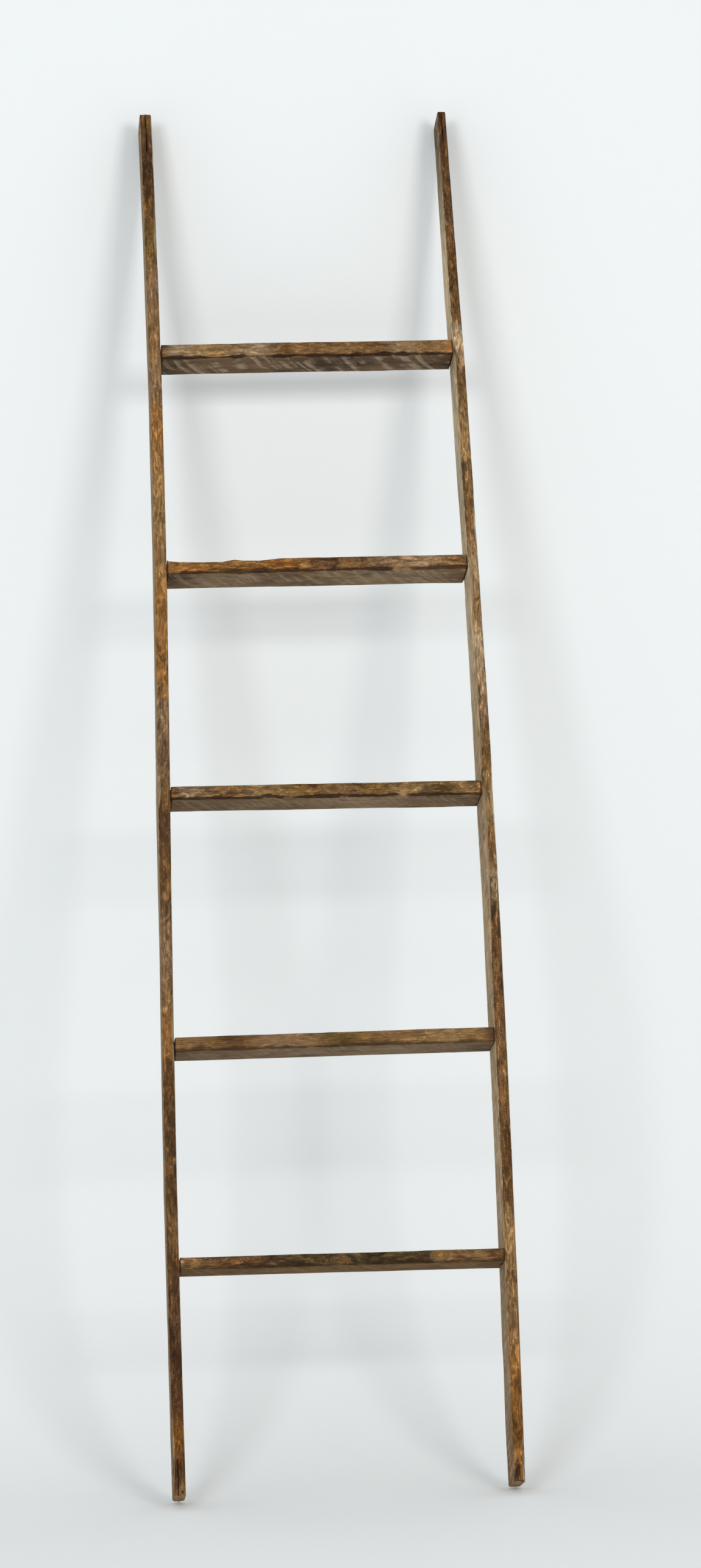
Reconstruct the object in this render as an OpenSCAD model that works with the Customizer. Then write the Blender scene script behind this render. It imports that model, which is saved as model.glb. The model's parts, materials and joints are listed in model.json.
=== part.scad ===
// Leaning quilt ladder: two bowed rails of old lath, five rungs butted between them, and two
// countersunk wood screws at each end of each rung. It stands on its feet and leans back, towards +Y.

/* [Stance] */
// Angle that the ladder leans back from upright, in degrees
lean = 17.5; // [5:0.5:30]
// Sideways shift of the rails' tops from their feet, to the right
side_lean = 20; // [-30:1:30]

/* [Rails] */
// Length of each rail, foot to top
rail_len = 1829; // [1520:1:2400]
// Depth of the rails, front face to back face
rail_depth = 51; // [38:0.5:90]
// Thickness of the left rail
left_rail_t = 15.3; // [12:0.1:30]
// Thickness of the right rail
right_rail_t = 14.8; // [12:0.1:30]
// Width between the rails at the feet
foot_gap = 392; // [300:1:700]
// Width between the rails at the tops
top_gap = 384; // [300:1:700]
// Bow of the left rail's middle, to the right
left_bow = 3; // [-12:0.1:12]
// S-shaped wave of the left rail, to the right in its lower half
left_wave = -3.2; // [-8:0.1:8]
// Bow of the right rail's middle, to the right
right_bow = 9.2; // [-12:0.1:12]
// S-shaped wave of the right rail, to the right in its lower half
right_wave = 0.7; // [-8:0.1:8]
// Radius worn onto the corners of the rails' ends
worn_r = 2.5; // [0.5:0.1:5]

/* [Rung heights] */
// Height of the lowest rung's middle above the feet, along the rails
rung_1_height = 277; // [120:1:330]
// Height of the second rung
rung_2_height = 551; // [400:1:620]
// Height of the third rung
rung_3_height = 874; // [700:1:950]
// Height of the fourth rung
rung_4_height = 1179; // [1020:1:1250]
// Height of the top rung
rung_5_height = 1482; // [1320:1:1490]

/* [Rung sizes] */
// Thickness of the lowest rung
rung_1_t = 13.8; // [11:0.1:30]
// Thickness of the second rung
rung_2_t = 17.8; // [11:0.1:30]
// Thickness of the third rung
rung_3_t = 17.3; // [11:0.1:30]
// Thickness of the fourth rung
rung_4_t = 17.5; // [11:0.1:30]
// Thickness of the top rung
rung_5_t = 20; // [11:0.1:30]
// How far the fourth rung stands proud of the rails at the back
rung_4_proud = 3; // [0:0.1:8]

/* [Rung slopes] */
// Rise of the lowest rung from its left end to its right end
rung_1_rise = -4.6; // [-12:0.1:12]
// Rise of the second rung
rung_2_rise = -0.7; // [-12:0.1:12]
// Rise of the third rung
rung_3_rise = -3.5; // [-12:0.1:12]
// Rise of the fourth rung
rung_4_rise = -0.1; // [-12:0.1:12]
// Rise of the top rung
rung_5_rise = 0.9; // [-12:0.1:12]

/* [Screws] */
// Length of a screw, head and point included
screw_len = 50; // [35:1:75]
// Diameter of a screw's shank and thread
screw_d = 4.2; // [3:0.1:5.5]
// Diameter of a screw's head
head_d = 8.2; // [7.5:0.1:10]
// Depth of the countersunk head
head_h = 2.6; // [2:0.1:4]
// How far a head is sunk below the rail's outer face
head_sink = 0.6; // [0.2:0.1:1.5]
// Distance from the rail's front or back face to the nearest screw's centre
screw_inset = 13; // [8:0.5:16]
// Clearance around the shank in the rail, and around the head in its pocket
screw_clear = 0.2; // [0.1:0.05:0.5]

/* [Hidden] */
$fn = 48;
SIDES = [-1, 1];                          // left, right
ROWS = [0, 1];                            // front screw, back screw
RUNGS = [1 : 5];
side_name = function(side) side < 0 ? "left" : "right";
row_name = function(row) row == 0 ? "front" : "back";
rung_node = function(k) str("rung_", k);
screw_node = function(k, side, row) str(rung_node(k), "_", side_name(side), "_", row_name(row), "_screw");

rail_t = function(side) side < 0 ? left_rail_t : right_rail_t;
rung_height = [undef, rung_1_height, rung_2_height, rung_3_height, rung_4_height, rung_5_height];
rung_t = [undef, rung_1_t, rung_2_t, rung_3_t, rung_4_t, rung_5_t];
rung_rise = [undef, rung_1_rise, rung_2_rise, rung_3_rise, rung_4_rise, rung_5_rise];
rung_depth = [undef, rail_depth, rail_depth, rail_depth, rail_depth + rung_4_proud, rail_depth];

// The rails' inner faces, in the ladder's own plane: X to the right, Z up the rails from the feet.
// Each is drawn straight from foot to top, and bent by its bow and its wave.
rail_steps = 24;
function bend(side, u) = side < 0
    ? left_bow * sin(180 * u) + left_wave * sin(360 * u)
    : right_bow * sin(180 * u) + right_wave * sin(360 * u);
function half_gap(u) = (foot_gap + (top_gap - foot_gap) * u) / 2;
function face_x(side, u) = side_lean * u + side * half_gap(u) + bend(side, u);
function face_points(side, out) =
    [for (i = [0 : rail_steps]) let (u = i / rail_steps) [face_x(side, u) + side * out, u * rail_len]];
// X of a rail's face at height z; out is how far the face lies outside the rail's inner face
function face_at(side, z, out = 0) =
    lookup(z, [for (p = face_points(side, out)) [p[1], p[0]]]);

// The ladder's origin is the middle of its stance, on the floor below the feet's back edges
outer_faces = [for (side = SIDES) [for (p = face_points(side, rail_t(side))) p[0]]];
mid_x = (min(outer_faces[0]) + max(outer_faces[1])) / 2;
foot_drop = rail_depth * sin(lean);
front_y = 0;
back_y = rail_depth * cos(lean) + rail_len * sin(lean);

// Leans a shape drawn in the ladder's own plane, front face at Y = 0, and stands it on the floor
module lean_back() {
    translate([-mid_x, -(front_y + back_y) / 2, foot_drop]) rotate([-lean, 0, 0]) children();
}

// Extrudes an outline drawn in X and Z from the front face back to the given depth
module board(depth) {
    translate([0, depth, 0]) rotate([90, 0, 0]) linear_extrude(height = depth) children();
}

// A quarter circle of wear where the end at height z meets the face at x. sx and sz are the ways out
function worn_corner(x, z, sx, sz, first, last) =
    [for (a = [first : sign(last - first) * 22.5 : last])
        [x + sx * worn_r * (cos(a) - 1), z + sz * worn_r * (sin(a) - 1)]];

module rail_outline(side) {
    t = rail_t(side);
    low = worn_r;
    high = rail_len - worn_r;
    inner = [for (p = face_points(side, 0)) if (p[1] > low && p[1] < high) p];
    outer = [for (p = face_points(side, t)) if (p[1] > low && p[1] < high) p];
    polygon(concat(
        worn_corner(face_at(side, low), 0, -side, -1, 90, 0),
        inner,
        worn_corner(face_at(side, high), rail_len, -side, 1, 0, 90),
        worn_corner(face_at(side, high, t), rail_len, side, 1, 90, 0),
        [for (i = [len(outer) - 1 : -1 : 0]) outer[i]],
        worn_corner(face_at(side, low, t), 0, side, -1, 0, 90)));
}

// Height of a rung's middle where it meets a rail
function joint_z(k, side) = rung_height[k] + side * rung_rise[k] / 2;
function screw_y(row) = row == 0 ? screw_inset : rail_depth - screw_inset;

// Puts a shape drawn along +X at a screw's head, pointing into the rung
module at_screw(k, side, row) {
    z = joint_z(k, side);
    x = face_at(side, z, rail_t(side)) - side * head_sink;
    translate([x, screw_y(row), z]) mirror([side > 0 ? 1 : 0, 0, 0]) children();
}

// A countersunk head's cone, from its flat top at X = 0 to the shank
module head_cone() {
    rotate([0, 90, 0]) cylinder(h = head_h, d1 = head_d, d2 = screw_d);
}

// The hole in a rail: a pocket for the head, its countersink, and a clearance hole for the shank
module rail_hole() {
    pocket = head_sink + 1;
    translate([-pocket, 0, 0]) rotate([0, 90, 0]) cylinder(h = pocket, d = head_d + 2 * screw_clear);
    head_cone();
    rotate([0, 90, 0]) cylinder(h = screw_len / 2 + 10, d = screw_d + 2 * screw_clear);
}

// The hole that a screw's thread has cut in a rung's end
module rung_hole() {
    rotate([0, 90, 0]) cylinder(h = screw_len + 1, d = screw_d);
}

module rail(side) {
    lean_back() difference() {
        board(rail_depth) rail_outline(side);
        for (k = RUNGS, row = ROWS) at_screw(k, side, row) rail_hole();
    }
}

module left_rail() { color("#6e5237") rail(-1); }
module right_rail() { color("#67503a") rail(1); }

// A rung is a straight board cut at both ends to the faces of the rails
module rung(k) {
    slope = atan2(rung_rise[k], foot_gap);
    blank = foot_gap + abs(side_lean) * 2 + 80;
    color("#7b5f42") lean_back() difference() {
        intersection() {
            translate([side_lean * rung_height[k] / rail_len, rung_depth[k] / 2, rung_height[k]])
                rotate([0, -slope, 0]) cube([blank, rung_depth[k], rung_t[k]], center = true);
            board(rung_depth[k]) polygon(concat(
                face_points(-1, 0),
                [for (i = [rail_steps : -1 : 0]) face_points(1, 0)[i]]));
        }
        for (side = SIDES, row = ROWS) at_screw(k, side, row) rung_hole();
    }
}

// A wood screw: countersunk head with a cross recess, shank, and a pointed end
recess_l = 4.6;
recess_w = 1.1;
recess_h = 1.6;
point_l = 6;
point_d = 0.6;
module screw(k, side, row) {
    shank = screw_len - point_l;
    color("#8d8a82") lean_back() at_screw(k, side, row) difference() {
        union() {
            head_cone();
            rotate([0, 90, 0]) cylinder(h = shank, d = screw_d);
            translate([shank, 0, 0]) rotate([0, 90, 0]) cylinder(h = point_l, d1 = screw_d, d2 = point_d);
        }
        for (turn = [0, 90])
            rotate([turn, 0, 0]) cube([2 * recess_h, recess_l, recess_w], center = true);
    }
}

left_rail();
right_rail();
for (k = RUNGS) rung(k);
for (k = RUNGS, side = SIDES, row = ROWS)
    screw(k, side, row);
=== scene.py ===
import json
import math

import bpy
import numpy as np
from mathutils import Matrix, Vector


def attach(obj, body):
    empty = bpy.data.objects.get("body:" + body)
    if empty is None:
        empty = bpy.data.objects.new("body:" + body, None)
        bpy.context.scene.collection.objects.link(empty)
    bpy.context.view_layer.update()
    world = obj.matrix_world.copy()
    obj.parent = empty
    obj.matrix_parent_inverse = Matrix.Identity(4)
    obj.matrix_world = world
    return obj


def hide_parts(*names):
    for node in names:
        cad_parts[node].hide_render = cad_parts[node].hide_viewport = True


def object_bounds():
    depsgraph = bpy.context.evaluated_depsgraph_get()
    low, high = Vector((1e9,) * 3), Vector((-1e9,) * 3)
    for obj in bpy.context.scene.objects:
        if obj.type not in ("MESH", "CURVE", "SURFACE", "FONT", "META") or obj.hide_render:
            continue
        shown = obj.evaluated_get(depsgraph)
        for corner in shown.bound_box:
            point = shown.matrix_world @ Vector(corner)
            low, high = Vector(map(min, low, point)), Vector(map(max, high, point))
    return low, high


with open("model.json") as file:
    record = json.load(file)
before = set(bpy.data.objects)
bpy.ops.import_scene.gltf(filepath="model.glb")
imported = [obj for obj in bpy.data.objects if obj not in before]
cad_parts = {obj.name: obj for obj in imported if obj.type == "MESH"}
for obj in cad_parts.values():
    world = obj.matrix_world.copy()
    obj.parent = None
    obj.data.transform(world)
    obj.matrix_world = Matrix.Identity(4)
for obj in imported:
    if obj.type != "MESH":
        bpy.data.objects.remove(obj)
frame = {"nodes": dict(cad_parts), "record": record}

cad_box = [list(corner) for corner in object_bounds()]

# ---- The stance ---------------------------------------------------------------------------------
# The boards are drawn upright in the ladder's own plane and then leaned back: X to the right, Y from
# the rails' front faces back, Z up the rails from their feet. The square-cut feet say how far it leans.
nodes = frame["nodes"]
foot = next(mount for mount in frame["record"]["mounts"] if mount["name"] == "left_foot")
lean = math.atan2(-foot["axis"][1], -foot["axis"][2])
stand_up = np.array([
    [1, 0, 0],
    [0, math.cos(lean), -math.sin(lean)],
    [0, math.sin(lean), math.cos(lean)],
])


def points_of(piece):
    """A mesh's vertices as an array."""
    points = np.empty(len(piece.data.vertices) * 3, np.float32)
    piece.data.vertices.foreach_get("co", points)
    return points.reshape(-1, 3).astype(float)


# the lowest, foremost point of the feet; the middle of the ladder stays where the CAD has it
foot_corner = (points_of(nodes["left_rail"]) @ stand_up.T).min(axis=0) * (0, 1, 1)


def upright(node):
    """A CAD piece's points in the ladder's own plane."""
    return points_of(nodes[node]) @ stand_up.T - foot_corner


def leaned(points):
    """Points of the ladder's own plane, where they are on the leaning ladder."""
    return (points + foot_corner) @ stand_up


# ---- The camera ---------------------------------------------------------------------------------
# It stands level with the third rung and a little to the left, about four and a half metres away,
# with a long lens, and is held upright but for a slight tilt.
camera = bpy.data.objects.new("camera", bpy.data.cameras.new("camera"))
bpy.context.scene.collection.objects.link(camera)
camera.location = (-0.3747, -4.5298, 0.8619)
camera.rotation_euler = (math.radians(89.92), math.radians(1.508), math.radians(-5.238))
camera.data.lens = 81.9
camera.data.sensor_width = 36
camera.data.clip_end = 50
bpy.context.scene.camera = camera

# ---- The studio sweep and its lights ------------------------------------------------------------
# A plain pale sweep: a floor that curves up into the wall the ladder leans on. The wall shows only
# from in front, so that the ladder's back can be seen. Two large soft lamps, one cool and one warm.
MM = 0.001
floor_w, floor_d, wall_h, cove_r = 9.0, 7.5, 5.0, 0.54
wall_gap, back_floor_drop = 1.0 * MM, 2.0 * MM
wall_y = cad_box[1][1] + wall_gap
bpy.ops.object.select_all(action="DESELECT")
bpy.ops.mesh.primitive_plane_add(size=1, location=(0, wall_y - floor_d / 2, 0))
sweep = bpy.context.object
sweep.name = "sweep"
sweep.scale = (floor_w, floor_d, 1)
bpy.ops.object.transform_apply(location=True, rotation=False, scale=True)


def choose(piece, mode, chosen):
    """Selects the vertices, edges or faces that chosen marks, and goes into edit mode."""
    kinds = ("vertices", "edges", "polygons")
    bpy.ops.object.select_all(action="DESELECT")
    bpy.context.view_layer.objects.active = piece
    piece.select_set(True)
    bpy.context.tool_settings.mesh_select_mode = [mode == kind for kind in kinds]
    for kind in kinds:
        parts = getattr(piece.data, kind)
        marks = chosen if kind == mode else np.zeros(len(parts), bool)
        parts.foreach_set("select", np.asarray(marks, bool))
    bpy.ops.object.mode_set(mode="EDIT")


def at_wall(edge):
    """Whether an edge of the sweep lies against the wall."""
    return all(sweep.data.vertices[v].co.y > wall_y - MM for v in edge.vertices)


def on_floor(edge):
    """Whether an edge of the sweep lies on the floor."""
    return all(sweep.data.vertices[v].co.z < MM for v in edge.vertices)


choose(sweep, "edges", [at_wall(edge) for edge in sweep.data.edges])
bpy.ops.mesh.extrude_region_move(TRANSFORM_OT_translate={"value": (0, 0, wall_h)})
bpy.ops.object.mode_set(mode="OBJECT")
choose(sweep, "edges", [at_wall(edge) and on_floor(edge) for edge in sweep.data.edges])
bpy.ops.mesh.bevel(offset=cove_r, segments=24, affect="EDGES")
bpy.ops.mesh.select_all(action="SELECT")
bpy.ops.mesh.normals_make_consistent(inside=False)
bpy.ops.object.mode_set(mode="OBJECT")
facing = sweep.data.polygons[0].normal
if facing.z < facing.y:
    sweep.data.flip_normals()
bpy.ops.object.shade_smooth()

# the paper is seen only on the side that faces the ladder
paper = bpy.data.materials.new("sweep_paper")
paper.use_nodes = True
paper_nodes, paper_links = paper.node_tree.nodes, paper.node_tree.links
paper_skin = paper_nodes["Principled BSDF"]
paper_skin.inputs["Base Color"].default_value = (0.83, 0.85, 0.85, 1)
paper_skin.inputs["Roughness"].default_value = 0.85
see_through = paper_nodes.new("ShaderNodeBsdfTransparent")
which_side = paper_nodes.new("ShaderNodeNewGeometry")
one_way = paper_nodes.new("ShaderNodeMixShader")
paper_links.new(which_side.outputs["Backfacing"], one_way.inputs["Fac"])
paper_links.new(paper_skin.outputs["BSDF"], one_way.inputs[1])
paper_links.new(see_through.outputs["BSDF"], one_way.inputs[2])
paper_links.new(one_way.outputs["Shader"], paper_nodes["Material Output"].inputs["Surface"])
sweep.data.materials.append(paper)

# more floor behind the wall, a little lower, for the views from behind
bpy.ops.object.select_all(action="DESELECT")
bpy.ops.mesh.primitive_plane_add(size=1, location=(0, floor_d / 2 - cove_r, -back_floor_drop))
back_floor = bpy.context.object
back_floor.name = "back_floor"
back_floor.scale = (floor_w, floor_d, 1)
bpy.ops.object.transform_apply(location=True, rotation=False, scale=True)
back_floor.data.materials.append(paper)


def softbox(name, side, tint):
    """A large square lamp in front and to one side, aimed at the ladder's middle."""
    place, aim = (side * 1.9, -4.3, 2.1), (0, 0, 0.9)
    light = bpy.data.lights.new(name, "AREA")
    light.shape = "RECTANGLE"
    light.size = light.size_y = 1.3
    light.energy, light.color = 63, tint
    holder = bpy.data.objects.new(name, light)
    bpy.context.scene.collection.objects.link(holder)
    holder.location = place
    direction = np.array(aim) - np.array(place)
    flat = math.hypot(direction[0], direction[1])
    holder.rotation_euler = (math.pi / 2 + math.atan2(direction[2], flat), 0,
                             math.atan2(-direction[0], direction[1]))


cool, warm = (0.93, 0.97, 1.0), (1.0, 0.965, 0.93)
softbox("left_softbox", -1, cool)
softbox("right_softbox", 1, warm)
world = bpy.data.worlds.new("studio")
world.use_nodes = True
room_light = world.node_tree.nodes["Background"]
room_light.inputs["Color"].default_value = (0.965, 0.985, 1.0, 1)
room_light.inputs["Strength"].default_value = 0.57
bpy.context.scene.world = world
bpy.context.scene.view_settings.view_transform = "Standard"

# ---- The rails ----------------------------------------------------------------------------------
# Two long laths ripped from old boards, set on edge, so that their narrow brown edges face the front
# and their rough-sawn sides face in and out. Both have bowed with age, and their arrises are worn.


def along_axis(piece, axis, longer_than):
    """Marks the edges of a piece that run along an axis."""
    ends = np.empty(len(piece.data.edges) * 2, np.int32)
    piece.data.edges.foreach_get("vertices", ends)
    points = points_of(piece)
    span = points[ends[1::2]] - points[ends[0::2]]
    length = np.linalg.norm(span, axis=1)
    return (np.abs(span[:, axis]) > 0.999 * length) & (length > longer_than)


def squared_lath(name, size, pitch, arris):
    """A straight board in a fine mesh: X across its narrow edge, Y deep, Z along, from one corner."""
    bpy.ops.object.select_all(action="DESELECT")
    bpy.ops.mesh.primitive_cube_add(size=1, location=[side / 2 for side in size])
    board = bpy.context.object
    board.name = board.data.name = name
    board.scale = size
    bpy.ops.object.transform_apply(location=True, rotation=False, scale=True)
    choose(board, "edges", np.ones(len(board.data.edges), bool))
    bpy.ops.mesh.bevel(offset=arris, segments=3, affect="EDGES")
    bpy.ops.object.mode_set(mode="OBJECT")
    steps = math.sqrt(size[2] / pitch)
    runs = [(0, round(size[0] / pitch)), (1, round(size[1] / pitch)),
            (2, math.floor(steps)), (2, math.ceil(steps))]
    for axis, parts in runs:
        choose(board, "edges", along_axis(board, axis, 2 * arris))
        bpy.ops.mesh.subdivide(number_cuts=parts - 1)
        bpy.ops.object.mode_set(mode="OBJECT")
    return board


def away(points, path):
    """How far each point is from a path of straight runs."""
    nearest = np.full(len(points), 1e9)
    for start, stop in zip(path[:-1], path[1:]):
        run = stop - start
        share = np.clip((points - start) @ run / max(run @ run, 1e-12), 0, 1)
        nearest = np.minimum(nearest, np.linalg.norm(points - start - share[:, None] * run, axis=1))
    return nearest


def note(board, name, values):
    """Writes a number or a point for each vertex, for the materials to read."""
    kind, field = ("FLOAT_VECTOR", "vector") if values.ndim == 2 else ("FLOAT", "value")
    marks = board.data.attributes.get(name) or board.data.attributes.new(name, kind, "POINT")
    marks.data.foreach_set(field, values.astype(np.float32).ravel())


def press(board, depth, weights, texture=None, grain=(1, 1, 1)):
    """Pushes the surface in by up to depth where the weights let it, in a texture's pattern."""
    group = board.vertex_groups.new(name="press")
    steps = np.round(weights, 2)
    for step in np.unique(steps[steps > 0]):
        group.add(np.nonzero(steps == step)[0].tolist(), float(step), "REPLACE")
    modifier = board.modifiers.new("press", "DISPLACE")
    modifier.strength = depth if texture else -depth
    modifier.mid_level = 1.0 if texture else 0.0
    modifier.vertex_group = group.name
    guide = bpy.data.objects.new("grain_guide", None)
    bpy.context.scene.collection.objects.link(guide)
    if texture:
        guide.scale = grain
        bpy.context.view_layer.update()
        modifier.texture = texture
        modifier.texture_coords = "OBJECT"
        modifier.texture_coords_object = guide
    bpy.context.view_layer.objects.active = board
    bpy.ops.object.modifier_apply(modifier=modifier.name)
    bpy.data.objects.remove(guide)
    board.vertex_groups.clear()


def cloudy(name, size, depth, contrast):
    """A soft noise pattern to press with."""
    texture = bpy.data.textures.new(name, "CLOUDS")
    texture.noise_scale = size
    texture.noise_depth = depth
    texture.contrast = contrast
    return texture


# slow waves along the board, the torn look of a worn arris, and grain that stands up with age
wave_texture = cloudy("slow_waves", 35 * MM, 1, 1.2)
wear_texture = cloudy("worn_arris", 6 * MM, 3, 1.8)
grain_texture = cloudy("raised_grain", 3.5 * MM, 2, 1.3)


def pare(points, size, sides, gone, slope=1.0):
    """Pares away the arris between two sides, each given as an axis and whether it is the far side."""
    (a, far_a), (b, far_b) = sides
    from_a = size[a] - points[:, a] if far_a else points[:, a]
    from_b = size[b] - points[:, b] if far_b else points[:, b]
    short = np.clip(gone - from_a - slope * from_b, 0, None) / (1 + slope ** 2)
    points[:, a] += -short if far_a else short
    points[:, b] += (-short if far_b else short) * slope


def weather(board, size, seed, wear, waves, pared, blows):
    """Ages a squared board. Pared: an arris, and millimetres along and gone. Blows: a path and its
    radius, depth, darkness of painted shade and cuts, for nail holes, splits, chips and screw heads."""
    paths = [np.array(path, float) * MM for path, *_ in blows]
    for path, (_, radius, _, _, cuts) in zip(paths, blows):
        if cuts:
            middles = np.empty(len(board.data.polygons) * 3, np.float32)
            board.data.polygons.foreach_get("center", middles)
            choose(board, "polygons", away(middles.reshape(-1, 3), path) < (radius + 1.5) * MM)
            bpy.ops.mesh.subdivide(number_cuts=cuts)
            bpy.ops.object.mode_set(mode="OBJECT")
    lath = points_of(board)
    hollow, dark = np.zeros(len(lath)), np.zeros(len(lath))
    deepest = max(depth for _, _, depth, _, _ in blows)
    for path, (_, radius, depth, darkness, _) in zip(paths, blows):
        reach = np.clip(1.5 * (1 - away(lath, path) / (radius * MM)), 0, 1)
        hollow = np.maximum(hollow, reach * depth / deepest)
        dark = np.maximum(dark, reach * darkness)
    luck = np.random.default_rng(seed)
    aged = lath.copy()
    # the arrises wear unevenly: how much changes every 13 mm, within limits that change every 65 mm
    places = np.arange(0, size[2] + 0.02, 0.013)
    for sides in [((0, x), (1, y)) for x in (0, 1) for y in (0, 1)]:
        gone = luck.uniform(0.6, 1.0, len(places))
        gone *= np.interp(places, places[::5], luck.uniform(0.5, wear, len(places[::5])))
        pare(aged, size, sides, np.interp(lath[:, 2], places, gone * MM))
    for sides in [((axis, far), (2, end)) for axis in (0, 1) for far in (0, 1) for end in (0, 1)]:
        pare(aged, size, sides, luck.uniform(1.0, 0.9 * wear) * MM)
    for sides, slope, shape in pared:
        pare(aged, size, sides, np.interp(lath[:, 2], *np.array(shape, float).T * MM), slope)
    worn = np.linalg.norm(aged - lath, axis=1)
    own_patch = luck.uniform(-3, 3, 3)
    board.data.vertices.foreach_set("co", (aged + own_patch).ravel())
    press(board, waves, np.ones(len(lath)), wave_texture, (1, 1, 5))
    press(board, 0.35 * MM, np.ones(len(lath)), grain_texture, (1, 1, 14))
    press(board, 1.2 * MM, np.clip(worn / (1.5 * MM), 0, 1), wear_texture, (1, 1, 4))
    press(board, deepest * MM, hollow)
    note(board, "lath", lath)
    note(board, "worn", worn / (2 * MM) + hollow * (1 - dark))
    # how much painted shade each nail hole, split and pocket gets, for the material
    note(board, "dark", dark)
    aged = points_of(board) - own_patch
    for axis in range(3):
        reached = [aged[:, axis].min(), aged[:, axis].max()]
        aged[:, axis] = np.interp(aged[:, axis], reached, [0, size[axis]])
    return aged


def settle(board, points):
    """Puts a finished board in its place on the leaning ladder."""
    board.data.vertices.foreach_set("co", leaned(points).ravel())
    choose(board, "polygons", np.ones(len(board.data.polygons), bool))
    bpy.ops.mesh.normals_make_consistent(inside=False)
    bpy.ops.object.mode_set(mode="OBJECT")
    bpy.ops.object.shade_smooth()


def wire(tree, kind, inputs=None, **settings):
    """Adds a shader node, with its settings, and its inputs as links or plain values."""
    node = tree.nodes.new(kind)
    for name, value in settings.items():
        setattr(node, name, value)
    for name, value in (inputs or {}).items():
        if isinstance(value, bpy.types.NodeSocket):
            tree.links.new(value, node.inputs[name])
        else:
            node.inputs[name].default_value = value
    return node


def sums(tree, operation, *values):
    """One step of arithmetic on shader values."""
    return wire(tree, "ShaderNodeMath", dict(enumerate(values)), operation=operation).outputs[0]


def moves(tree, operation, *values):
    """One step of arithmetic on shader vectors."""
    return wire(tree, "ShaderNodeVectorMath", dict(enumerate(values)), operation=operation).outputs[0]


def between(tree, value, low, high, out_low=0.0, out_high=1.0):
    """Maps a value smoothly from low..high to out_low..out_high."""
    return wire(tree, "ShaderNodeMapRange", {"Value": value, "From Min": low, "From Max": high,
                "To Min": out_low, "To Max": out_high}, interpolation_type="SMOOTHSTEP").outputs["Result"]


def noise(tree, place, scale, detail=2.0, rough=0.5, distort=0.0):
    """Noise that is so many times per metre across, deep and along."""
    place = wire(tree, "ShaderNodeMapping", {"Vector": place, "Scale": scale}).outputs["Vector"]
    return wire(tree, "ShaderNodeTexNoise", {"Vector": place, "Scale": 1.0, "Detail": detail,
                "Roughness": rough, "Distortion": distort}).outputs["Fac"]


def blend(tree, share, first, second):
    """Mixes two colours; a Mix node keeps its colour sockets in these places."""
    share_in, first_in, second_in, colour_out = 0, 6, 7, 2
    mix = wire(tree, "ShaderNodeMix", {share_in: share, first_in: first, second_in: second}, data_type="RGBA")
    return mix.outputs[colour_out]


def colour(code):
    """A colour written as on screen, as the shaders want it."""
    parts = [int(code[i:i + 2], 16) / 255 for i in (1, 3, 5)]
    return tuple(p / 12.92 if p <= 0.04045 else ((p + 0.055) / 1.055) ** 2.4 for p in parts) + (1.0,)


def effect(name, inputs, outputs):
    """A new shader node group: its tree, its inputs' sockets, and the sockets its results go into."""
    tree = bpy.data.node_groups.new(name, "ShaderNodeTree")
    for label, kind in inputs:
        tree.interface.new_socket(label, in_out="INPUT", socket_type="NodeSocket" + kind)
    for label in outputs:
        tree.interface.new_socket(label, in_out="OUTPUT", socket_type="NodeSocketFloat")
    return tree, tree.nodes.new("NodeGroupInput").outputs, tree.nodes.new("NodeGroupOutput").inputs


# Growth rings round a pith that lies outside the board, as in any sawn lath, with fibres and pores
grain_group, given, out = effect(
    "wood_grain",
    [("Lath", "Vector"), ("Pith", "Vector"), ("Ring width", "Float")],
    ["Rings", "Fibres", "Pores"])
tree = grain_group
sway = wire(tree, "ShaderNodeMapping", {"Vector": given["Lath"], "Scale": (12, 12, 5)}).outputs["Vector"]
sway = wire(tree, "ShaderNodeTexNoise", {"Vector": sway, "Scale": 1.0, "Detail": 3.0}).outputs["Color"]
sway = moves(tree, "MULTIPLY", moves(tree, "SUBTRACT", sway, (0.5, 0.5, 0.5)), (0.030, 0.030, 0))
heart = moves(tree, "ADD", moves(tree, "SUBTRACT", given["Lath"], given["Pith"]), sway)
heart = moves(tree, "MULTIPLY", heart, (1, 1, 0))
radius = wire(tree, "ShaderNodeVectorMath", {0: heart}, operation="LENGTH").outputs["Value"]
year = sums(tree, "FRACT", sums(tree, "DIVIDE", radius, given["Ring width"]))
late = sums(tree, "MULTIPLY", sums(tree, "POWER", year, 2.2), between(tree, year, 0.88, 1.0, 1.0, 0.0))
tree.links.new(late, out["Rings"])
tree.links.new(noise(tree, given["Lath"], (900, 900, 40), 4.0, 0.6), out["Fibres"])
tree.links.new(between(tree, noise(tree, given["Lath"], (700, 700, 55), 1.0), 0.60, 0.68), out["Pores"])

# Patches of old finish and dirt, from a hand's breadth down to scuffs, with a fine speckle
patch_group, given, out = effect("patches", [("Lath", "Vector")], ["Broad", "Patches", "Scuffs", "Speckle"])
tree = patch_group
tree.links.new(noise(tree, given["Lath"], (22, 22, 9), 3.0, 0.6, 0.4), out["Broad"])
tree.links.new(noise(tree, given["Lath"], (75, 75, 26), 3.0, 0.6, 0.9), out["Patches"])
tree.links.new(noise(tree, given["Lath"], (230, 230, 75), 4.0, 0.65, 0.8), out["Scuffs"])
tree.links.new(noise(tree, given["Lath"], (900, 900, 600), 2.0, 0.7), out["Speckle"])

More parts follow.
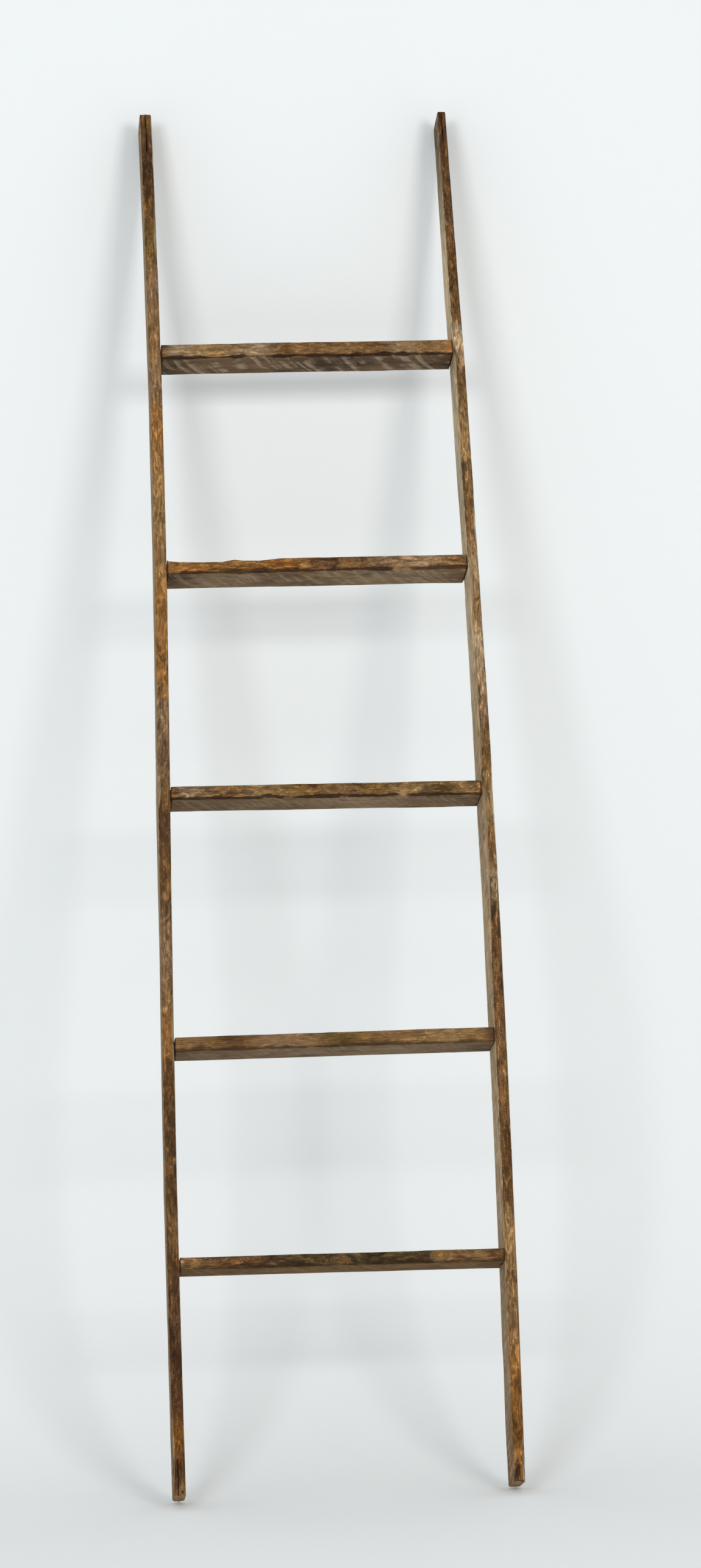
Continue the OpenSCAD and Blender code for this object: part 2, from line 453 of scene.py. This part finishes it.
# Marks that a circular saw left as the board was fed past it: arcs that repeat along the length
saw_group, given, out = effect(
    "saw_marks",
    [("Lath", "Vector"), ("Blade", "Float"), ("Set off", "Float"), ("Pitch", "Float")],
    ["Marks"])
tree = saw_group
place = wire(tree, "ShaderNodeSeparateXYZ", {0: given["Lath"]})
reach = sums(tree, "DIVIDE", sums(tree, "SUBTRACT", place.outputs["Y"], given["Set off"]), given["Blade"])
arc = sums(tree, "SQRT", sums(tree, "SUBTRACT", 1.0, sums(tree, "POWER", reach, 2.0)))
feed = sums(tree, "ADD", place.outputs["Z"], sums(tree, "MULTIPLY", arc, given["Blade"]))
wobble = noise(tree, given["Lath"], (30, 30, 18), 2.0)
feed = sums(tree, "ADD", feed, sums(tree, "MULTIPLY", wobble, 12 * MM))
feed = sums(tree, "DIVIDE", feed, given["Pitch"])
strokes, teeth = (
    wire(tree, "ShaderNodeTexNoise", {"W": sums(tree, "MULTIPLY", feed, times), "Scale": 1.0, "Detail": 2.0,
         "Roughness": 0.6}, noise_dimensions="1D").outputs["Fac"] for times in (1.0, 5.0))
strokes = between(tree, strokes, 0.44, 0.60)
strokes = sums(tree, "MULTIPLY", strokes, between(tree, teeth, 0.30, 0.62, 0.35, 1.0))
faint = between(tree, noise(tree, given["Lath"], (55, 55, 28), 3.0), 0.40, 0.56)
tree.links.new(sums(tree, "MULTIPLY", strokes, faint), out["Marks"])

# A small knot: rings round it and a dark heart
knot_group, given, out = effect(
    "knot", [("Lath", "Vector"), ("Place", "Vector"), ("Size", "Float")], ["Mask", "Rings", "Heart"])
tree = knot_group
span = moves(tree, "MULTIPLY", moves(tree, "SUBTRACT", given["Lath"], given["Place"]), (1.0, 0.5, 0.55))
span = wire(tree, "ShaderNodeVectorMath", {0: span}, operation="LENGTH").outputs["Value"]
wander = noise(tree, given["Lath"], (160, 160, 70), 3.0)
span = sums(tree, "ADD", span, sums(tree, "MULTIPLY", wander, 6 * MM))
span = sums(tree, "DIVIDE", span, given["Size"])
tree.links.new(between(tree, span, 0.75, 1.0, 1.0, 0.0), out["Mask"])
tree.links.new(sums(tree, "FRACT", sums(tree, "MULTIPLY", span, 4.0)), out["Rings"])
tree.links.new(between(tree, span, 0.36, 0.48, 1.0, 0.0), out["Heart"])

# The tones of old wood, stain, dust and dirt, and of the painted shade
tones = {
    "pitch": "#432a16", "treacle": "#513216", "umber": "#53371e", "bark": "#5f401f",
    "brown": "#6e4e2b", "olive": "#6b5026", "tan": "#805f39", "sand": "#8a6b42", "dust": "#836648",
    "ash": "#927859", "chalk": "#ab9270", "honey": "#926533", "amber": "#754a14",
    "orange": "#a56a2a", "rust": "#6f3f1e", "driftwood": "#c2ac8a", "weathered": "#ac926f",
    "board": "#786045", "shade": "#5f4a33", "stale": "#866f53", "moss": "#735530",
    "peat": "#45351a", "copper": "#8f5c28", "toast": "#7d5529",
    # what the saw leaves
    "straw": "#c9b698", "clay": "#a38e7c", "putty": "#a2927a", "sawdust": "#a8967a", "hay": "#94805f",
    # stains, dirt, chips, knots, pores, cut ends, and painted shade in arrises, joints and holes
    "stain": "#764a20", "soot": "#3b2610", "chip": "#bfa98a", "watermark": "#4c3722", "pore": "#2a1a0e",
    "arris_shade": "#2a180b", "joint_shade": "#35190a", "hole": "#1c1109", "knot_pale": "#987a50",
    "knot_brown": "#6d4f2c", "end_pale": "#a3835f", "end_brown": "#6b4a2c", "end_grey": "#7c654c",
}


def tone(name):
    """One of the tones, as the shaders want it."""
    return colour(tones[name])


def tone_ramp(tree, along, length, stops):
    """The colour along a board from its low or left end: millimetres and the tone there."""
    ramp = wire(tree, "ShaderNodeValToRGB", {"Fac": sums(tree, "DIVIDE", along, length)})
    ramp.color_ramp.interpolation = "EASE"
    marks = ramp.color_ramp.elements
    while len(marks) < len(stops):
        marks.new(1.0)
    for mark, (place, name) in zip(marks, stops):
        mark.position = min(place * MM / length, 1.0)
        mark.color = tone(name)
    return ramp.outputs["Color"]


def old_lath(name, size, edge_tones, side_tones, pith, saw, own_patch, mottle, knots=(),
             painted_shade=0.0, bare_tone="chalk"):
    """The finish of one board: brown edges front and back, grey sawn sides, worn arrises, end grain,
    and painted shade along the lower front arris, in the joints and in the holes.
    """
    skin = bpy.data.materials.new(name)
    skin.use_nodes = True
    tree = skin.node_tree

    def share(value, strength):
        """Part of a value."""
        return sums(tree, "MULTIPLY", value, strength)

    def swings(value, strength):
        """How far a pattern is above or below its middle, so much."""
        return share(sums(tree, "SUBTRACT", value, 0.5), strength)

    lath = wire(tree, "ShaderNodeAttribute", attribute_name="lath").outputs["Vector"]
    worn = wire(tree, "ShaderNodeAttribute", attribute_name="worn").outputs["Fac"]
    # how much painted shade each hole, split and pocket gets
    hollow = wire(tree, "ShaderNodeAttribute", attribute_name="dark").outputs["Fac"]
    moved = wire(tree, "ShaderNodeMapping", {"Vector": lath, "Location": own_patch}).outputs["Vector"]
    place = wire(tree, "ShaderNodeSeparateXYZ", {0: lath})
    deep, along = place.outputs["Y"], place.outputs["Z"]
    rings, fibres, pores = wire(
        tree, "ShaderNodeGroup", {"Lath": moved, "Pith": (*pith, 0), "Ring width": 2.7 * MM},
        node_tree=grain_group).outputs
    broad, patches, scuffs, speckle = wire(
        tree, "ShaderNodeGroup", {"Lath": moved}, node_tree=patch_group).outputs
    blade, set_off, pitch, strength, saw_tone = saw
    saw_marks = wire(
        tree, "ShaderNodeGroup", {"Lath": lath, "Blade": blade, "Set off": set_off, "Pitch": pitch},
        node_tree=saw_group).outputs["Marks"]

    # where the board is edge, side or end; the borders wander by a millimetre or two
    ragged = swings(scuffs, 5 * MM)
    to_edge = sums(tree, "MINIMUM", deep, sums(tree, "SUBTRACT", size[1], deep))
    edge = between(tree, sums(tree, "ADD", to_edge, ragged), 0.5 * MM, 1.8 * MM, 1.0, 0.0)
    from_end = sums(tree, "MINIMUM", along, sums(tree, "SUBTRACT", size[2], along))
    end = between(tree, from_end, 0.3 * MM, 0.9 * MM, 1.0, 0.0)

    # the brown edges: tones along the board, made lighter and darker by patches, scuffs and rings;
    # the scuffs lighten it more than they darken it
    darkest = 0.35
    drift = swings(patches, 0.04 * size[2])
    along = sums(tree, "ADD", along, drift)
    flecks = sums(tree, "MAXIMUM", sums(tree, "SUBTRACT", scuffs, 0.5), -0.05)
    swing = sums(tree, "ADD", swings(broad, 0.8 * mottle), 0.99)
    swing = sums(tree, "ADD", swing, swings(patches, 1.3 * mottle))
    swing = sums(tree, "ADD", swing, share(flecks, 3.9 * mottle))
    ringed = sums(tree, "SUBTRACT", 1.0, share(rings, 0.42))
    brown = tone_ramp(tree, along, size[2], edge_tones)
    swing = sums(tree, "MAXIMUM", swing, darkest)
    brown = moves(tree, "MULTIPLY", brown, sums(tree, "MULTIPLY", swing, ringed))
    brown = blend(tree, share(between(tree, patches, 0.56, 0.66), 0.38), brown, tone("stain"))
    brown = blend(tree, share(between(tree, broad, 0.44, 0.34), 0.60), brown, tone("soot"))
    paler = moves(tree, "MULTIPLY", brown, (1.8, 1.75, 1.7))
    brown = blend(tree, share(between(tree, scuffs, 0.58, 0.68), 0.6), brown, paler)
    brown = blend(tree, share(between(tree, speckle, 0.62, 0.70), 0.5), brown, paler)
    chipped = sums(tree, "MULTIPLY", between(tree, speckle, 0.58, 0.68), between(tree, patches, 0.46, 0.58))
    brown = blend(tree, share(chipped, 0.5 * mottle), brown, tone("chip"))

    # the sides: greyer, with rings, raised fibres, saw marks and water stains
    grey = tone_ramp(tree, along, size[2], side_tones)
    swing = sums(tree, "ADD", swings(broad, 1.4), 1.05)
    swing = sums(tree, "ADD", swing, swings(patches, 1.6))
    swing = sums(tree, "ADD", swing, swings(fibres, 1.0))
    sawn = share(sums(tree, "SUBTRACT", saw_marks, 0.35), 0.8 * strength)
    swing = sums(tree, "ADD", swing, sawn)
    swing = sums(tree, "MAXIMUM", swing, darkest)
    grey = moves(tree, "MULTIPLY", grey, sums(tree, "MULTIPLY", swing, ringed))
    grey = blend(tree, share(saw_marks, strength), grey, tone(saw_tone))
    grey = blend(tree, share(between(tree, patches, 0.58, 0.68), 0.40), grey, tone("watermark"))
    face = blend(tree, edge, grey, brown)

    # knots in the edge, with rings round an orange or dark heart
    for where, width, heart_tone in knots:
        mask, knot_rings, knot_heart = wire(
            tree, "ShaderNodeGroup",
            {"Lath": lath, "Place": [side * MM for side in where], "Size": width * MM},
            node_tree=knot_group).outputs
        knotty = blend(tree, knot_rings, tone("knot_pale"), tone("knot_brown"))
        face = blend(tree, share(mask, 0.45), face, knotty)
        face = blend(tree, share(knot_heart, 0.85), face, tone(heart_tone))
    face = blend(tree, share(pores, 0.40), face, tone("pore"))

    # worn arrises show paler, drier wood
    patchy = between(tree, sums(tree, "ADD", fibres, scuffs), 0.8, 1.1, 0.4, 0.9)
    bare = share(between(tree, worn, 0.45, 1.1), patchy)
    face = blend(tree, bare, face, moves(tree, "MULTIPLY", tone(bare_tone)[:3], ringed))

    # painted shade along the lower front arris; at the ends, painted shade in a rung's joints, else sawn end
    # grain; painted shade in nail holes, splits and screw pockets
    low_arris = moves(tree, "MULTIPLY", lath, (1, 1, 0))
    low_arris = wire(tree, "ShaderNodeVectorMath", {0: low_arris}, operation="LENGTH").outputs["Value"]
    low_arris = sums(tree, "ADD", low_arris, swings(patches, 16 * MM))
    # painted shade along the lower front arris of the rungs
    arris_shade_mask = between(tree, low_arris, 1.8 * MM, 4.6 * MM, 1.0, 0.0)
    face = blend(tree, share(arris_shade_mask, painted_shade), face, tone("arris_shade"))
    cut_end = blend(tree, rings, tone("end_pale"), tone("end_brown"))
    cut_end = blend(tree, between(tree, scuffs, 0.48, 0.62), cut_end, tone("end_grey"))
    if painted_shade:
        # painted shade in the gap where the rung's end meets the rail
        joint_shade = between(tree, from_end, 1.0 * MM, 2.6 * MM, 1.0, 0.0)
        face = blend(tree, share(joint_shade, 0.75), face, tone("joint_shade"))
    else:
        face = blend(tree, end, face, cut_end)
    # painted shade in nail holes, splits and screw pockets
    face = blend(tree, hollow, face, tone("hole"))

    # what the fingers feel: fibres, rings and scuffs stand up; pores and saw marks are cut in
    height = sums(tree, "ADD", share(fibres, 0.6), share(rings, 0.30))
    height = sums(tree, "ADD", height, share(speckle, 0.30))
    height = sums(tree, "ADD", height, share(scuffs, 0.9))
    height = sums(tree, "SUBTRACT", height, share(pores, 0.5))
    height = sums(tree, "SUBTRACT", height, share(saw_marks, 0.5))
    bump = wire(tree, "ShaderNodeBump", {"Height": height, "Strength": 0.9, "Distance": 0.5 * MM})
    matt = sums(tree, "ADD", 0.45, share(scuffs, 0.35))
    matt = sums(tree, "ADD", matt, share(sums(tree, "SUBTRACT", 1.0, edge), 0.15))
    surface = tree.nodes["Principled BSDF"]
    surface.inputs["IOR"].default_value = 1.45
    surface.inputs["Specular IOR Level"].default_value = 0.14
    tree.links.new(face, surface.inputs["Base Color"])
    tree.links.new(matt, surface.inputs["Roughness"])
    tree.links.new(bump.outputs["Normal"], surface.inputs["Normal"])
    return skin


def rail_sides(node):
    """The CAD rail's two long sides on its front face: heights, left side, right side."""
    front = upright(node)
    front = front[front[:, 1] < 0.01 * MM]
    heights = np.unique(np.round(front[:, 2], 6))
    rows = [front[np.abs(front[:, 2] - height) < 2e-6, 0] for height in heights]
    low, high = np.array([row.min() for row in rows]), np.array([row.max() for row in rows])
    full = high - low > (high - low).max() - 0.01 * MM
    return heights[full], low[full], high[full]


# The tone at each height of the brown edge and of the sawn sides, from the foot up, in millimetres
left_edge = [
    (0, "tan"), (30, "treacle"), (74, "amber"), (108, "treacle"), (150, "treacle"), (230, "umber"),
    (280, "bark"), (310, "brown"), (375, "bark"), (445, "brown"), (485, "bark"), (560, "honey"),
    (600, "tan"), (655, "dust"), (760, "brown"), (830, "umber"), (865, "bark"), (930, "dust"),
    (985, "dust"), (1015, "honey"), (1120, "honey"), (1240, "sand"), (1390, "honey"), (1430, "dust"),
    (1506, "tan"), (1584, "dust"), (1630, "olive"), (1700, "bark"), (1745, "pitch"), (1790, "umber"),
    (1829, "olive")]
right_edge = [
    (0, "bark"), (25, "honey"), (60, "amber"), (95, "amber"), (130, "honey"), (195, "tan"),
    (310, "sand"), (350, "bark"), (385, "bark"), (440, "bark"), (500, "brown"), (560, "brown"),
    (600, "bark"), (690, "bark"), (740, "ash"), (790, "brown"), (855, "sand"), (930, "brown"),
    (985, "dust"), (1040, "ash"), (1075, "chalk"), (1115, "tan"), (1175, "ash"), (1240, "brown"),
    (1350, "sand"), (1440, "brown"), (1500, "chalk"), (1535, "bark"), (1650, "brown"), (1700, "bark"),
    (1750, "bark"), (1800, "pitch")]
left_side = [(0, "dust"), (300, "stale"), (900, "ash"), (1500, "ash"), (1829, "ash")]
right_side = [(0, "dust"), (200, "ash"), (420, "weathered"), (950, "weathered"), (1100, "driftwood"),
              (1600, "driftwood"), (1780, "board"), (1829, "shade")]

# front arrises that are pared away: which one, how steeply, and at each height how much is gone
front_left, front_right = ((0, 0), (1, 0)), ((0, 1), (1, 0))
left_pared = [
    (front_left, 1.0, [(0, 2), (60, 4), (120, 2), (850, 2), (880, 5), (920, 2), (1829, 2)]),
    (front_right, 1.0, [(0, 2), (500, 2), (560, 4), (640, 2), (1600, 1), (1640, 4), (1700, 2)])]
right_pared = [
    (front_left, 0.8, [(0, 2), (640, 2), (700, 3), (780, 4.5), (850, 6), (866, 6.5), (872, 2), (885, 2),
                       (930, 3.5), (1080, 3), (1140, 5), (1168, 6), (1176, 2), (1300, 2), (1390, 3),
                       (1465, 4), (1480, 2), (1829, 2)]),
    (front_right, 1.0, [(0, 4), (60, 2), (820, 2), (860, 5), (900, 1), (1180, 1), (1230, 4), (1280, 1)])]

# splits in from the ends, chips and old nail holes: a path, then its radius, depth, darkness of painted shade
# and cuts
top_split, long_split, thin_split = (0.9, 2.2, 0.9, 3), (0.9, 2.5, 0.9, 3), (0.8, 2.0, 0.9, 3)
nail_hole = (1.5, 4.0, 1.0, 3)
left_blows = [
    ([(7, 0, 1832), (8, 0, 1800), (7.5, 0, 1772)], *top_split),
    ([(15.3, 20, 1832), (15.3, 22, 1775), (15.3, 21, 1735)], *long_split),
    ([(0, 33, 1832), (0, 31, 1790), (0, 32, 1752)], *long_split),
    ([(0, 24, -3), (0, 23, 48), (0, 25, 95)], *long_split),
    ([(6, 0, -3), (6.5, 0, 22), (6, 0, 44)], *thin_split),
    ([(8, 51, -3), (7, 51, 60)], *long_split),
    ([(0, 0, 1712), (0.5, 0, 1721)], 3.0, 1.6, 0.0, 2),
    ([(11, 0, 5), (11, 0, 6)], 2.0, 1.5, 0.8, 3)]
left_blows += [([place, place], *nail_hole) for place in (
    (0, 30, 420), (0, 14, 1086), (0, 38, 1640), (15.3, 33, 705), (15.3, 12, 1340),
    (8, 51, 690), (7, 51, 1320))]
right_blows = [
    ([(8, 0, 1832), (7, 0, 1803), (7.5, 0, 1786)], *top_split),
    ([(14.8, 18, 1832), (14.8, 17, 1770), (14.8, 19, 1722)], *long_split),
    ([(0, 30, 1832), (0, 32, 1766)], *long_split),
    ([(14.8, 34, -3), (14.8, 33, 40), (14.8, 35, 82)], *long_split),
    ([(7, 51, -3), (8, 51, 70), (7.5, 51, 110)], *long_split),
    ([(6, 0, 10), (6, 0, 19)], 2.4, 1.4, 0.0, 3),
    ([(6, 0, 24), (6, 0, 25)], 1.4, 1.0, 0.0, 3),
    ([(11, 0, 0), (11, 0, 1)], 2.0, 1.4, 0.0, 3)]
right_blows += [([place, place], *nail_hole) for place in (
    (0, 36, 192), (0, 13, 730), (0, 40, 1388), (14.8, 20, 395), (14.8, 37, 1010), (14.8, 12, 1590),
    (7, 51, 1105))]

# ripped a little off square: at each height, how much more there is on the left, front and back
left_fuller = [(0, 0, 0), (700, 0.3, 0.3), (850, 1.3, 1.9), (1300, 1.3, 1.9), (1829, 1.0, 1.5)]
right_fuller = [(0, 0, 1.0), (100, 0.2, 1.8), (650, 0.2, 1.8), (720, 0.1, 1.1), (830, 0.2, 1.6),
                (940, 0, 0.8), (1060, 0, 0.6), (1120, 0, 0), (1600, 0, 0), (1724, -0.9, -0.9),
                (1829, -1.3, -1.3)]
# and how much less there is on the right
left_thinner = [(0, 0), (1829, 0)]
right_thinner = [(1495, 0), (1560, 0.9), (1700, 1.6), (1829, 1.9)]

# a screw head's pocket, and a deeper one for where the left rail is fuller, each with a little painted shade
pocket, deep_pocket = (5.2, 1.6, 0.30, 4), (7.0, 3.3, 0.25, 4)

# the saw that cut both rails' sides: blade, set off, pitch, strength, tone
rail_saw = (0.30, 0.10, 9 * MM, 0.30, "straw")

# for each rail: its lists from above, where its pith lay, its seed, its mottle, and its knots, each
# with a place, a size and the tone of its heart
rails = {
    "left_rail": (
        left_edge, left_side, left_pared, left_fuller, left_thinner, left_blows,
        (-0.018, 0.030), 11, 1.3,
        [((11, 0, 6), 8, "pitch"), ((6, 0, 902), 9, "bark")]),
    "right_rail": (
        right_edge, right_side, right_pared, right_fuller, right_thinner, right_blows,
        (0.050, 0.012), 12, 1.6,
        [((8, 0, 1190), 10, "rust"), ((6, 0, 640), 9, "bark")]),
}
for name, (edge_tones, side_tones, pared, fuller, thinner, blows, pith, seed, mottle, knots) in rails.items():
    heights, low, high = rail_sides(name)
    size = (float((high - low).mean()), *(float(most) for most in upright(name).max(axis=0)[1:]))
    outer = 0.0 if name == "left_rail" else size[0] / MM
    pockets = []
    for k in range(1, 6):
        for where in ("front", "back"):
            screw = upright(f"rung_{k}_{name.split('_')[0]}_{where}_screw")
            head = screw[np.abs(screw[:, 0] - (screw[:, 0].max() if outer else screw[:, 0].min())) < 2 * MM]
            middle = (outer, *(head[:, 1:].min(axis=0) + head[:, 1:].max(axis=0)) / 2 / MM)
            pockets.append(([middle, middle], *(pocket if outer or k < 3 else deep_pocket)))
    board = squared_lath(name + "_lath", size, pitch=2.1 * MM, arris=1.0 * MM)
    points = weather(board, size, seed, 2.2, 0.5 * MM, pared, blows + pockets)
    rightward, backward = points[:, 0] / size[0], points[:, 1] / size[1]
    places, at_front, at_back = np.array(fuller).T * MM
    more = np.interp(points[:, 2], places, at_front) * (1 - backward)
    more += np.interp(points[:, 2], places, at_back) * backward
    less = np.interp(points[:, 2], *np.array(thinner).T * MM)
    points[:, 0] -= more * (1 - rightward) + less * rightward
    points[:, 0] += np.interp(points[:, 2], heights, low)
    settle(board, points)
    board.data.materials.append(old_lath(
        name + "_wood", size, edge_tones, side_tones, pith, rail_saw, (0, 0, seed), mottle, knots))
    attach(board, "root")
    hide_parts(name)

# ---- The rungs ----------------------------------------------------------------------------------
# Five short pieces of the same old lath, butted between the rails and flush with their front faces.
# Each was sawn from its own board, so no two have the same thickness or colour.
top_front, low_front = ((0, 1), (1, 0)), ((0, 0), (1, 0))

# how much of a front arris is gone at each place from the left, in millimetres
torn_arris = [(0, 1), (40, 3), (70, 1.5), (120, 4), (160, 2), (215, 3.5), (250, 1.5), (300, 4),
              (340, 2), (400, 2)]
clean_arris = [(0, 1), (130, 1.5), (260, 2), (400, 1)]
wavy_arris = [(0, 1.5), (14, 3), (40, 4), (72, 4), (88, 1.5), (100, 3), (120, 3.5), (145, 1), (400, 1)]
split_arris = [(0, 1), (180, 1), (230, 3), (270, 2), (310, 4), (360, 3), (389, 4)]

# for each rung, from the top one down: edge tones, side tones, pared arrises, knots,
# saw marks (blade, set off, pitch, strength, tone), painted shade along the lower front arris, mottle
rungs = {
    5: ([(0, "brown"), (15, "ash"), (70, "sand"), (125, "ash"), (165, "brown"), (230, "tan"), (285, "brown"),
         (320, "ash"), (350, "tan"), (372, "tan"), (381, "honey"), (386, "orange")],
        [(0, "shade"), (60, "board"), (230, "shade"), (300, "board"), (340, "board"), (386, "shade")],
        [(low_front, 1.0, torn_arris)],
        [((16, 0, 322), 17, "sand")],
        (0.16, -0.055, 16 * MM, 0.80, "clay"), 0.95, 1.1),
    4: ([(0, "toast"), (30, "copper"), (80, "toast"), (150, "copper"), (178, "toast"), (190, "bark"),
         (215, "umber"), (240, "bark"), (290, "dust"), (335, "ash"), (365, "tan"), (389, "brown")],
        [(0, "shade"), (60, "stale"), (140, "board"), (200, "board"), (250, "stale"), (330, "stale"),
         (389, "board")],
        [(top_front, 0.35, wavy_arris), (low_front, 1.0, split_arris)],
        [((12, 0, 236), 12, "rust")],
        (0.16, -0.060, 12 * MM, 0.40, "putty"), 0.8, 1.5),
    3: ([(0, "orange"), (7, "honey"), (14, "ash"), (60, "tan"), (78, "brown"), (110, "sand"),
         (165, "olive"), (190, "bark"), (225, "brown"), (255, "olive"), (310, "sand"), (350, "olive"),
         (388, "tan"), (394, "orange")],
        [(0, "board"), (150, "board"), (240, "stale"), (330, "board"), (395, "board")],
        [(low_front, 1.0, torn_arris)],
        [((11, 0, 205), 15, "bark")],
        (0.22, -0.09, 8 * MM, 0.25, "sawdust"), 0.9, 1.6),
    2: ([(0, "honey"), (8, "tan"), (75, "brown"), (140, "dust"), (200, "olive"), (290, "tan"), (345, "sand"),
         (380, "tan"), (398, "umber")],
        [(0, "board"), (70, "board"), (270, "stale"), (330, "board"), (398, "board")],
        [(low_front, 1.0, clean_arris)],
        [],
        (0.22, -0.09, 8 * MM, 0.20, "sawdust"), 0.65, 0.65),
    1: ([(0, "tan"), (45, "brown"), (75, "bark"), (100, "umber"), (130, "peat"), (210, "peat"), (270, "peat"),
         (300, "peat"), (330, "brown"), (350, "tan"), (397, "bark")],
        [(0, "moss"), (100, "moss"), (300, "moss"), (397, "moss")],
        [(low_front, 1.0, clean_arris)],
        [((8, 0, 318), 12, "orange"), ((7, 0, 366), 9, "honey")],
        (0.22, -0.09, 8 * MM, 0.25, "hay"), 0.55, 1.5),
}

# none is quite square: millimetres more below at the front and back, and above at the left and right
rung_fuller = {5: (0.5, 1.2, 0.0, 0.8), 4: (0.3, 1.1, 2.1, 2.0), 3: (0.5, 1.5, 0.0, 1.2),
               2: (0.5, 1.7, -0.2, 1.0), 1: (1.2, 1.4, 0.7, 1.8)}
for k, (edge_tones, side_tones, pared, knots, saw, arris_shade, mottle) in rungs.items():
    name = f"rung_{k}"
    whole = upright(name)
    front = np.unique(np.round(whole[whole[:, 1] < 0.01 * MM], 6), axis=0)
    left_low, left_high = sorted(front[np.argsort(front[:, 0])][:2], key=lambda corner: corner[2])
    right_low, right_high = sorted(front[np.argsort(front[:, 0])][-2:], key=lambda corner: corner[2])
    size = (float(left_high[2] - left_low[2]), float(whole[:, 1].max()), float(right_low[0] - left_low[0]))
    thick, long = size[0] / MM, size[2] / MM
    # an old nail hole by each end of the underside, and splits in from both ends, with painted shade in them
    luck = np.random.default_rng(40 + k)
    blows = []
    for end, inward in ((0, 1), (long, -1)):
        y = luck.uniform(8, 44)
        z = end + inward * luck.uniform(8, 30)
        blows.append(([(0, y, z)] * 2, 1.4, 4.0, 1.0, 3))
    for end, inward in ((0, 1), (long, -1)):
        y = luck.uniform(12, 40)
        upper = [(thick, y, end), (thick, y + 1.5, end + 25 * inward), (thick, y + 0.5, end + 55 * inward)]
        lower = [(0, y, end), (0, y - 1.5, end + 30 * inward)]
        blows += [(upper, *thin_split), (lower, *thin_split)]
    board = squared_lath(name + "_lath", size, pitch=1.3 * MM, arris=0.6 * MM)
    points = weather(board, size, 20 + k, 2.0, 0.5 * MM, pared, blows)
    up, over = points[:, 0:1] / size[0], points[:, 2:3] / size[2]
    left = left_low + (left_high - left_low) * up
    right = right_low + (right_high - right_low) * up
    placed = left + (right - left) * over
    placed[:, 1] = points[:, 1]
    low_start, low_stop, high_start, high_stop = (most * MM for most in rung_fuller[k])
    above = high_start + (high_stop - high_start) * over[:, 0]
    below = low_start + (low_stop - low_start) * points[:, 1] / size[1]
    placed[:, 2] += above * up[:, 0] - below * (1 - up[:, 0])
    settle(board, placed)
    board.data.materials.append(old_lath(
        name + "_wood", size, edge_tones, side_tones, (0.022, 0.012 * k - 0.030), saw, (0, 0, 20 + k),
        mottle, knots, arris_shade, "orange" if k == 4 else "chalk"))
    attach(board, "root")
    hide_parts(name)

# ---- The screws ---------------------------------------------------------------------------------
# Two wood screws at each joint, driven through the rail into the rung's end grain. They are zinc
# plated steel that has dulled and begun to rust, with their heads a little below the wood.
steel = bpy.data.materials.new("dull_zinc")
steel.use_nodes = True
tree = steel.node_tree
spot = wire(tree, "ShaderNodeTexCoord").outputs["Object"]
tarnish = noise(tree, spot, (420, 420, 420), 3.0, 0.6)
rust = between(tree, noise(tree, spot, (260, 260, 260), 4.0, 0.65, 0.5), 0.52, 0.64)
dull, bright, rusty = (colour(code) for code in ("#8d8f90", "#b9bbb8", "#5e3a22"))
plate = blend(tree, tarnish, dull, bright)
plate = blend(tree, rust, plate, rusty)
surface = tree.nodes["Principled BSDF"]
tree.links.new(plate, surface.inputs["Base Color"])
tree.links.new(between(tree, rust, 0.0, 1.0, 0.95, 0.1), surface.inputs["Metallic"])
tree.links.new(sums(tree, "ADD", 0.34, sums(tree, "MULTIPLY", rust, 0.45)), surface.inputs["Roughness"])
pitted = wire(tree, "ShaderNodeBump", {"Height": sums(tree, "ADD", tarnish, rust), "Strength": 0.5,
              "Distance": 0.1 * MM})
tree.links.new(pitted.outputs["Normal"], surface.inputs["Normal"])
for name, node in nodes.items():
    if name.endswith("_screw"):
        node.data.materials.clear()
        node.data.materials.append(steel)
